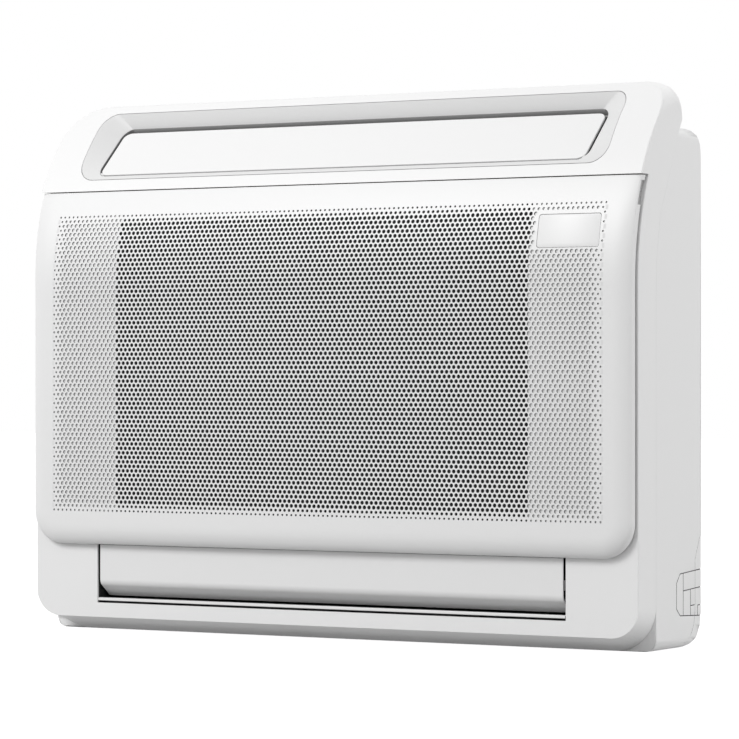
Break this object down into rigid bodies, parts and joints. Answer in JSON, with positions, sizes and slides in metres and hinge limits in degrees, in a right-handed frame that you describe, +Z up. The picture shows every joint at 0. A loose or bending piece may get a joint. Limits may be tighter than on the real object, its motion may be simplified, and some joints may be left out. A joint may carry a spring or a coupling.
{
  "type": "floor standing air conditioner",
  "caption": "Low console indoor unit: a perforated front panel draws room air in, a flap at the top and a louver at the foot let it out.",
  "frame": {"origin": "centre of the bounding box's base, on the floor", "axes": "+Z up, the front looks along -Y, +X to the viewer's right"},
  "size_m": [0.794, 0.2, 0.621],
  "materials": {
    "white": "satin",
    "soft_white": "satin",
    "grey": "satin",
    "dark_grey": "matt",
    "black": "matt",
    "steel": "brushed",
    "aluminium": "mill",
    "copper": "drawn",
    "brass": "turned",
    "board": "coated"
  },
  "bodies": {
    "cabinet": {"front_casing": "white", "upper_bezel": "soft_white", "upper_duct": "grey", "lower_duct": "grey", "flap_motor": "steel", "louver_motor": "steel", "filter_left": "dark_grey", "filter_right": "dark_grey", "evaporator_fins": "aluminium", "coil_end_left": "copper", "coil_end_right": "copper", "suction_pipe": "copper", "liquid_pipe": "copper", "suction_flare_nut": "brass", "liquid_flare_nut": "brass", "drain_pan": "black", "bell_mouth": "dark_grey", "fan_motor": "steel", "motor_bracket": "steel", "air_guide_left": "soft_white", "air_guide_right": "soft_white", "control_box": "steel", "control_lid": "steel", "control_board": "board", "terminal_block": "black", "rear_casing": "soft_white", "corner_cover_left": "soft_white", "corner_cover_right": "soft_white", "back_frame": "soft_white"},
    "panel": {"front_panel": "white", "display_window": "soft_white", "display_board": "board"},
    "catch_left": {"panel_catch_left": "grey"},
    "catch_right": {"panel_catch_right": "grey"},
    "flap": {"upper_flap": "white"},
    "louver": {"lower_louver": "white"},
    "fan": {"fan_wheel": "dark_grey", "motor_shaft": "steel", "fan_nut": "steel"},
    "link": {"vane_link": "grey"},
    "vane_1_body": {"vane_1": "grey"},
    "vane_2_body": {"vane_2": "grey"},
    "vane_3_body": {"vane_3": "grey"},
    "vane_4_body": {"vane_4": "grey"},
    "vane_5_body": {"vane_5": "grey"},
    "vane_6_body": {"vane_6": "grey"},
    "vane_7_body": {"vane_7": "grey"},
    "vane_8_body": {"vane_8": "grey"}
  },
  "joints": [
    {"name": "panel_hinge", "type": "hinge", "parent": "cabinet", "child": "panel", "pos_m": [0, -0.0848, 0.1042], "axis": [1, 0, 0], "range_deg": [0, 65]},
    {"name": "catch_left_slide", "type": "slide", "parent": "panel", "child": "catch_left", "axis": [1, 0, 0], "range_m": [0, 0.005]},
    {"name": "catch_right_slide", "type": "slide", "parent": "panel", "child": "catch_right", "axis": [-1, 0, 0], "range_m": [0, 0.005]},
    {"name": "flap_hinge", "type": "hinge", "parent": "cabinet", "child": "flap", "pos_m": [0, -0.05714, 0.5348], "axis": [1, 0, 0], "range_deg": [0, 55]},
    {"name": "louver_hinge", "type": "hinge", "parent": "cabinet", "child": "louver", "pos_m": [0, -0.059, 0.072], "axis": [1, 0, 0], "range_deg": [0, 75]},
    {"name": "fan_spin", "type": "hinge", "parent": "cabinet", "child": "fan", "pos_m": [0, 0, 0.306], "axis": [0, 1, 0], "continuous": true},
    {"name": "vane_1_turn", "type": "hinge", "parent": "cabinet", "child": "vane_1_body", "pos_m": [-0.273, -0.0304, 0.51597], "axis": [0, 0.4359, 0.9], "range_deg": [-30, 30]},
    {"name": "vane_2_turn", "type": "hinge", "parent": "cabinet", "child": "vane_2_body", "pos_m": [-0.195, -0.0304, 0.51597], "axis": [0, 0.4359, 0.9], "range_deg": [-30, 30]},
    {"name": "vane_3_turn", "type": "hinge", "parent": "cabinet", "child": "vane_3_body", "pos_m": [-0.117, -0.0304, 0.51597], "axis": [0, 0.4359, 0.9], "range_deg": [-30, 30]},
    {"name": "vane_4_turn", "type": "hinge", "parent": "cabinet", "child": "vane_4_body", "pos_m": [-0.039, -0.0304, 0.51597], "axis": [0, 0.4359, 0.9], "range_deg": [-30, 30]},
    {"name": "vane_5_turn", "type": "hinge", "parent": "cabinet", "child": "vane_5_body", "pos_m": [0.039, -0.0304, 0.51597], "axis": [0, 0.4359, 0.9], "range_deg": [-30, 30]},
    {"name": "vane_6_turn", "type": "hinge", "parent": "cabinet", "child": "vane_6_body", "pos_m": [0.117, -0.0304, 0.51597], "axis": [0, 0.4359, 0.9], "range_deg": [-30, 30]},
    {"name": "vane_7_turn", "type": "hinge", "parent": "cabinet", "child": "vane_7_body", "pos_m": [0.195, -0.0304, 0.51597], "axis": [0, 0.4359, 0.9], "range_deg": [-30, 30]},
    {"name": "vane_8_turn", "type": "hinge", "parent": "cabinet", "child": "vane_8_body", "pos_m": [0.273, -0.0304, 0.51597], "axis": [0, 0.4359, 0.9], "range_deg": [-30, 30]},
    {"name": "link_slide", "type": "slide", "parent": "cabinet", "child": "link", "axis": [1, 0, 0], "range_m": [-0.0055, 0.0055]}
  ],
  "couplings": [
    {"joint": "vane_2_turn", "follows": "vane_1_turn", "ratio": 1},
    {"joint": "vane_3_turn", "follows": "vane_1_turn", "ratio": 1},
    {"joint": "vane_4_turn", "follows": "vane_1_turn", "ratio": 1},
    {"joint": "vane_5_turn", "follows": "vane_1_turn", "ratio": 1},
    {"joint": "vane_6_turn", "follows": "vane_1_turn", "ratio": 1},
    {"joint": "vane_7_turn", "follows": "vane_1_turn", "ratio": 1},
    {"joint": "vane_8_turn", "follows": "vane_1_turn", "ratio": 1},
    {"joint": "link_slide", "follows": "vane_1_turn", "m_per_rad": -0.0102}
  ]
}
